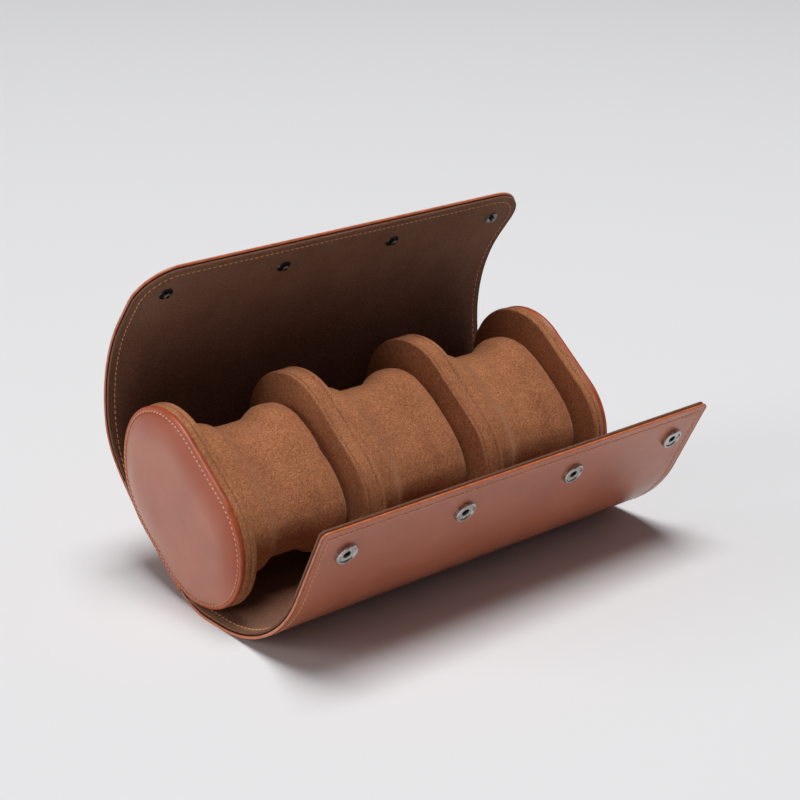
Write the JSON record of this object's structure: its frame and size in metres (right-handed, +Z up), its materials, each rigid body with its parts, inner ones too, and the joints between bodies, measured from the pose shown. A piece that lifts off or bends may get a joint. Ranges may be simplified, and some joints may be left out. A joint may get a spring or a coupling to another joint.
{
  "type": "watch travel case",
  "caption": "Leather travel case that wraps round an oval row of suede cushions for wrist watches, closed by press fasteners between lid and front flap.",
  "frame": {"origin": "middle of the flat strip under the case that it stands on, at half its length", "axes": "+X along the case, +Y to the back, where the lid is, +Z up"},
  "size_m": [0.22, 0.1587, 0.1463],
  "materials": {
    "outer_leather": "smooth tan leather, semi gloss, burnished edges",
    "suede": "brown microfibre suede with a short nap",
    "board": "grey-brown book board",
    "foam": "soft polyurethane foam",
    "snap_sockets": "nickel, satin",
    "snap_studs": "black nickel, bright"
  },
  "bodies": {
    "base": {"base_board": "board", "base_leather": "outer_leather", "base_lining": "suede", "divider_1_band": "suede", "divider_1_core": "board", "divider_1_left_face": "suede", "divider_1_right_face": "suede", "divider_2_band": "suede", "divider_2_core": "board", "divider_2_left_face": "suede", "divider_2_right_face": "suede", "left_cap_band": "suede", "left_cap_core": "board", "left_cap_inner_face": "suede", "left_cap_leather": "outer_leather", "right_cap_band": "suede", "right_cap_core": "board", "right_cap_inner_face": "suede", "right_cap_leather": "outer_leather"},
    "flap_root": {"flap_root_board": "board", "flap_root_leather": "outer_leather", "flap_root_lining": "suede"},
    "flap_middle": {"flap_middle_board": "board", "flap_middle_leather": "outer_leather", "flap_middle_lining": "suede"},
    "flap_front": {"flap_front_board": "board", "flap_front_leather": "outer_leather", "flap_front_lining": "suede", "snap_sockets": "snap_sockets", "snap_socket_anchors": "snap_sockets", "snap_springs": "snap_sockets"},
    "lid_root": {"lid_root_board": "board", "lid_root_leather": "outer_leather", "lid_root_lining": "suede"},
    "lid_back": {"lid_back_board": "board", "lid_back_leather": "outer_leather", "lid_back_lining": "suede"},
    "lid_top": {"lid_top_board": "board", "lid_top_leather": "outer_leather", "lid_top_lining": "suede"},
    "lid_front": {"lid_front_board": "board", "lid_front_leather": "outer_leather", "lid_front_lining": "suede", "snap_studs": "snap_studs", "snap_stud_anchors": "snap_studs"},
    "cushion_1": {"cushion_1_cover": "suede", "cushion_1_end_panels": "suede", "cushion_1_filling": "foam"},
    "cushion_2": {"cushion_2_cover": "suede", "cushion_2_end_panels": "suede", "cushion_2_filling": "foam"},
    "cushion_3": {"cushion_3_cover": "suede", "cushion_3_end_panels": "suede", "cushion_3_filling": "foam"}
  },
  "joints": [
    {"name": "flap_root_fold", "type": "hinge", "parent": "base", "child": "flap_root", "pos_m": [0, -0.00993, 0.003], "axis": [1, 0, 0], "range_deg": [-26.33, 0]},
    {"name": "flap_middle_fold", "type": "hinge", "parent": "flap_root", "child": "flap_middle", "pos_m": [0, -0.02896, 0.00413], "axis": [1, 0, 0], "range_deg": [-26.33, 0]},
    {"name": "flap_front_fold", "type": "hinge", "parent": "flap_middle", "child": "flap_front", "pos_m": [0, -0.06142, 0.02244], "axis": [1, 0, 0], "range_deg": [-26.33, 0]},
    {"name": "lid_root_fold", "type": "hinge", "parent": "base", "child": "lid_root", "pos_m": [0, 0.05726, 0.04395], "axis": [-1, 0, 0], "range_deg": [-22.5, 6]},
    {"name": "lid_back_fold", "type": "hinge", "parent": "lid_root", "child": "lid_back", "pos_m": [0, 0.06435, 0.07243], "axis": [-1, 0, 0], "range_deg": [-22.5, 6]},
    {"name": "lid_top_fold", "type": "hinge", "parent": "lid_back", "child": "lid_top", "pos_m": [0, 0.05643, 0.10619], "axis": [-1, 0, 0], "range_deg": [-22.5, 6]},
    {"name": "lid_front_fold", "type": "hinge", "parent": "lid_top", "child": "lid_front", "pos_m": [0, 0.04652, 0.12118], "axis": [-1, 0, 0], "range_deg": [-22.5, 6]},
    {"name": "cushion_1_lift", "type": "slide", "parent": "base", "child": "cushion_1", "axis": [0, -0.6157, 0.788], "range_m": [0, 0.062]},
    {"name": "cushion_2_lift", "type": "slide", "parent": "base", "child": "cushion_2", "axis": [0, -0.6157, 0.788], "range_m": [0, 0.062]},
    {"name": "cushion_3_lift", "type": "slide", "parent": "base", "child": "cushion_3", "axis": [0, -0.6157, 0.788], "range_m": [0, 0.062]}
  ],
  "couplings": [
    {"joint": "flap_middle_fold", "follows": "flap_root_fold", "ratio": 1},
    {"joint": "flap_front_fold", "follows": "flap_root_fold", "ratio": 1},
    {"joint": "lid_back_fold", "follows": "lid_root_fold", "ratio": 1},
    {"joint": "lid_top_fold", "follows": "lid_root_fold", "ratio": 1},
    {"joint": "lid_front_fold", "follows": "lid_root_fold", "ratio": 1}
  ]
}
